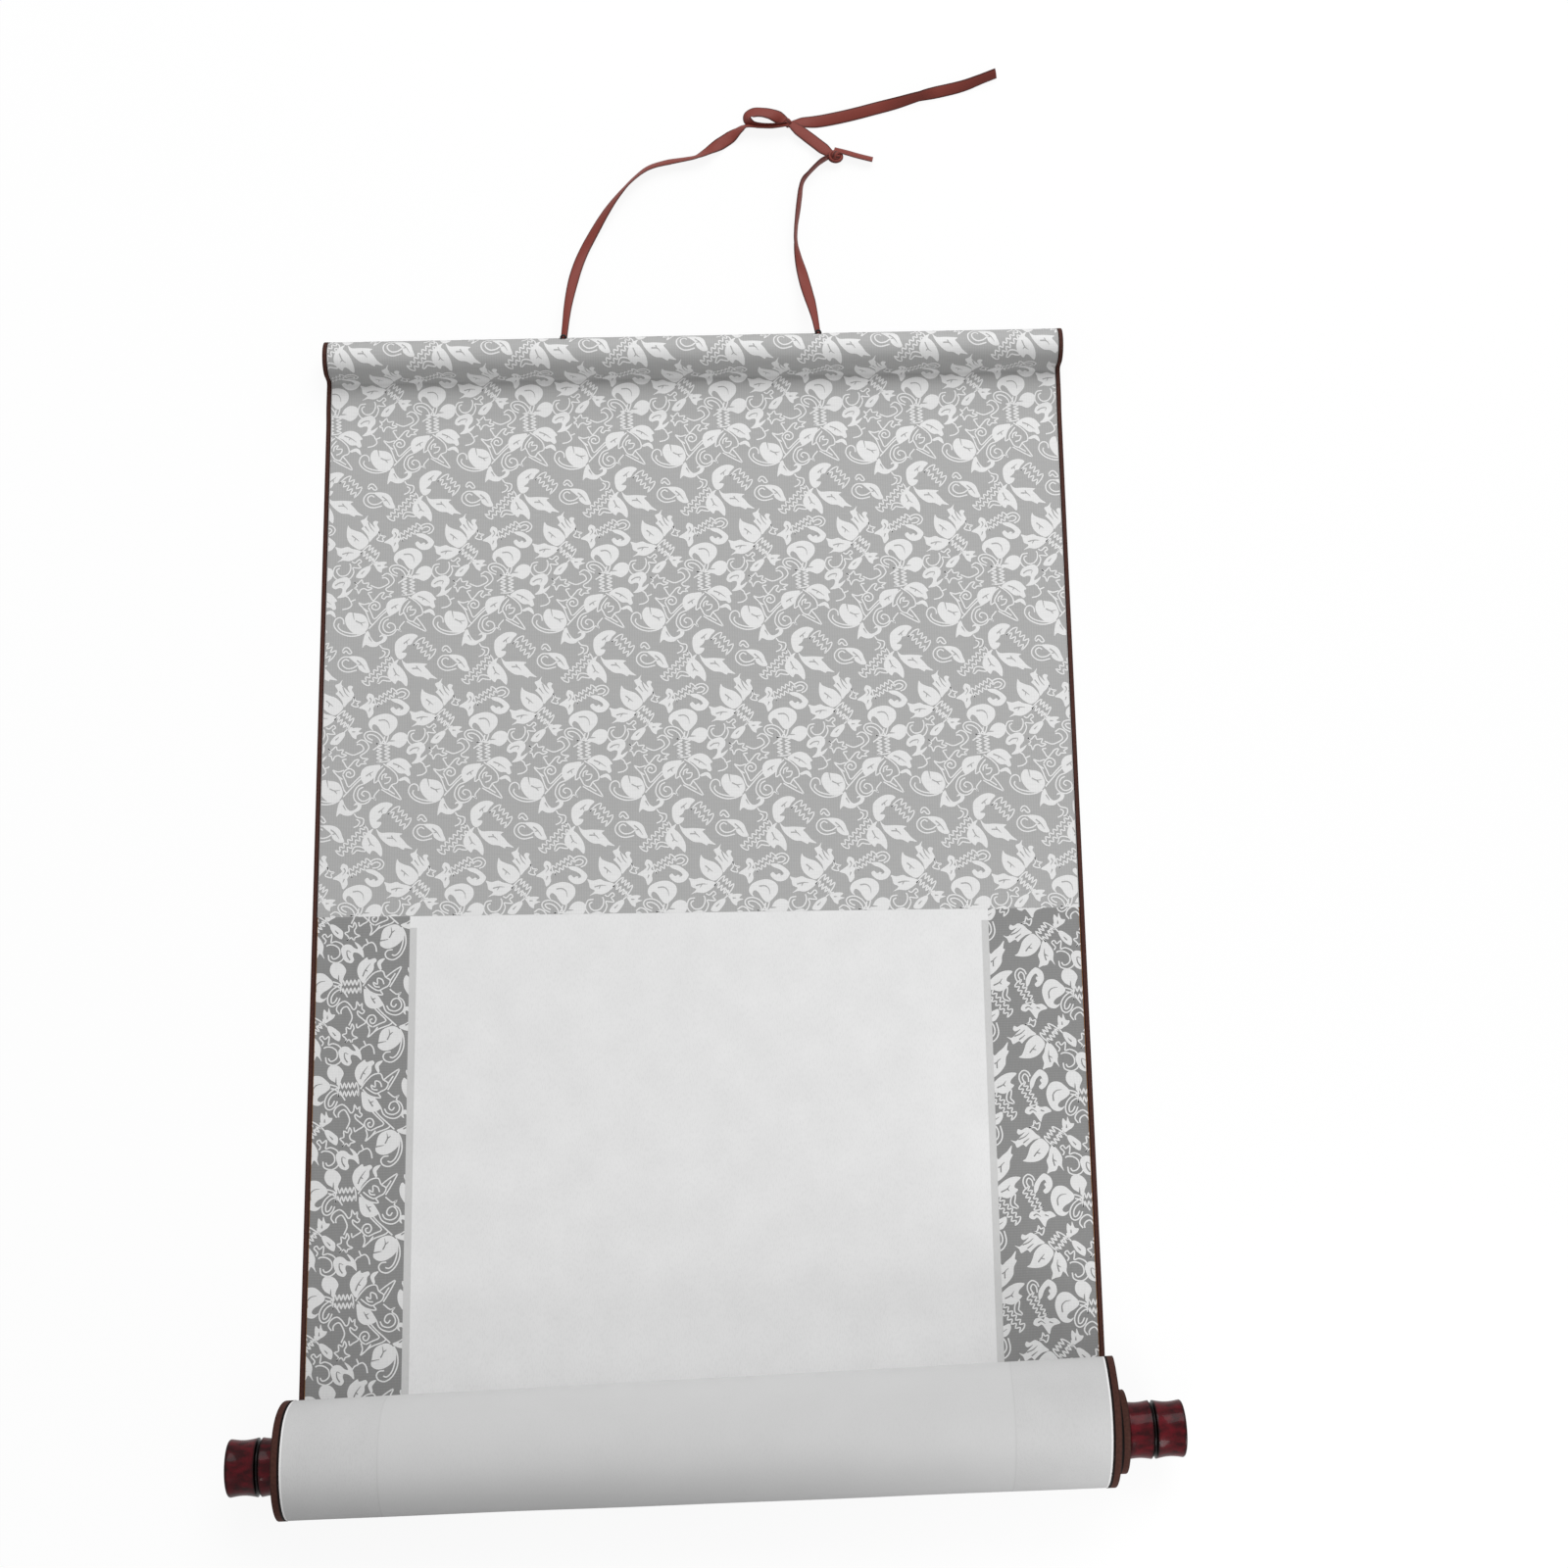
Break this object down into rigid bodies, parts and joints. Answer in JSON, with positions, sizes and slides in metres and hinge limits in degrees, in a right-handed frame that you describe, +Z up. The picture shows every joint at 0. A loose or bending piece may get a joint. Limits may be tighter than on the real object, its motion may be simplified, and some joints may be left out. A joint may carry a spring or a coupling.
{
  "type": "paper scroll",
  "caption": "Blank hanging scroll lying face up and part unrolled, with figured cloth mounting, brown edging, lacquered roller knobs and a knotted hanging ribbon",
  "frame": {"origin": "on the surface that the scroll rests on, below the middle of the scroll without its ribbon", "axes": "+X along the rods to the right as the picture is seen, +Y from the roll towards the hanging ribbon, +Z up out of the picture's face"},
  "size_m": [0.3808, 0.6398, 0.051],
  "materials": {
    "white_paper": "matt white xuan paper backing, a little brighter on the roll",
    "grey_brocade": "grey figured silk with paler leaf scrolls, soft satin sheen",
    "grey_paper": "matt grey paper",
    "picture_paper": "matt blank white xuan paper",
    "brown_tape": "matt brown paper tape",
    "rod_wood": "bare planed wood, hidden in the fold and the roll",
    "red_lacquer": "turned wood with glossy dark red lacquer, a black ring groove",
    "black_wire": "black enamelled wire",
    "brown_ribbon": "reddish brown satin ribbon with darker woven edges"
  },
  "bodies": {
    "root": {"backing_and_roll": "white_paper", "top_brocade_panel": "grey_brocade", "left_brocade_strip": "grey_brocade", "right_brocade_strip": "grey_brocade", "left_margin_strip": "grey_paper", "right_margin_strip": "grey_paper", "picture_paper": "picture_paper", "left_edging": "brown_tape", "right_edging": "brown_tape", "top_rod": "rod_wood", "roller_rod": "rod_wood", "left_knob": "red_lacquer", "right_knob": "red_lacquer", "left_staple": "black_wire", "right_staple": "black_wire", "bow_knot": "brown_ribbon", "end_knot": "brown_ribbon", "ribbon_left": "brown_ribbon", "ribbon_right": "brown_ribbon", "ribbon_tail": "brown_ribbon", "knot_link": "brown_ribbon", "bow_loop": "brown_ribbon", "ribbon_short_tail": "brown_ribbon"}
  },
  "joints": []
}
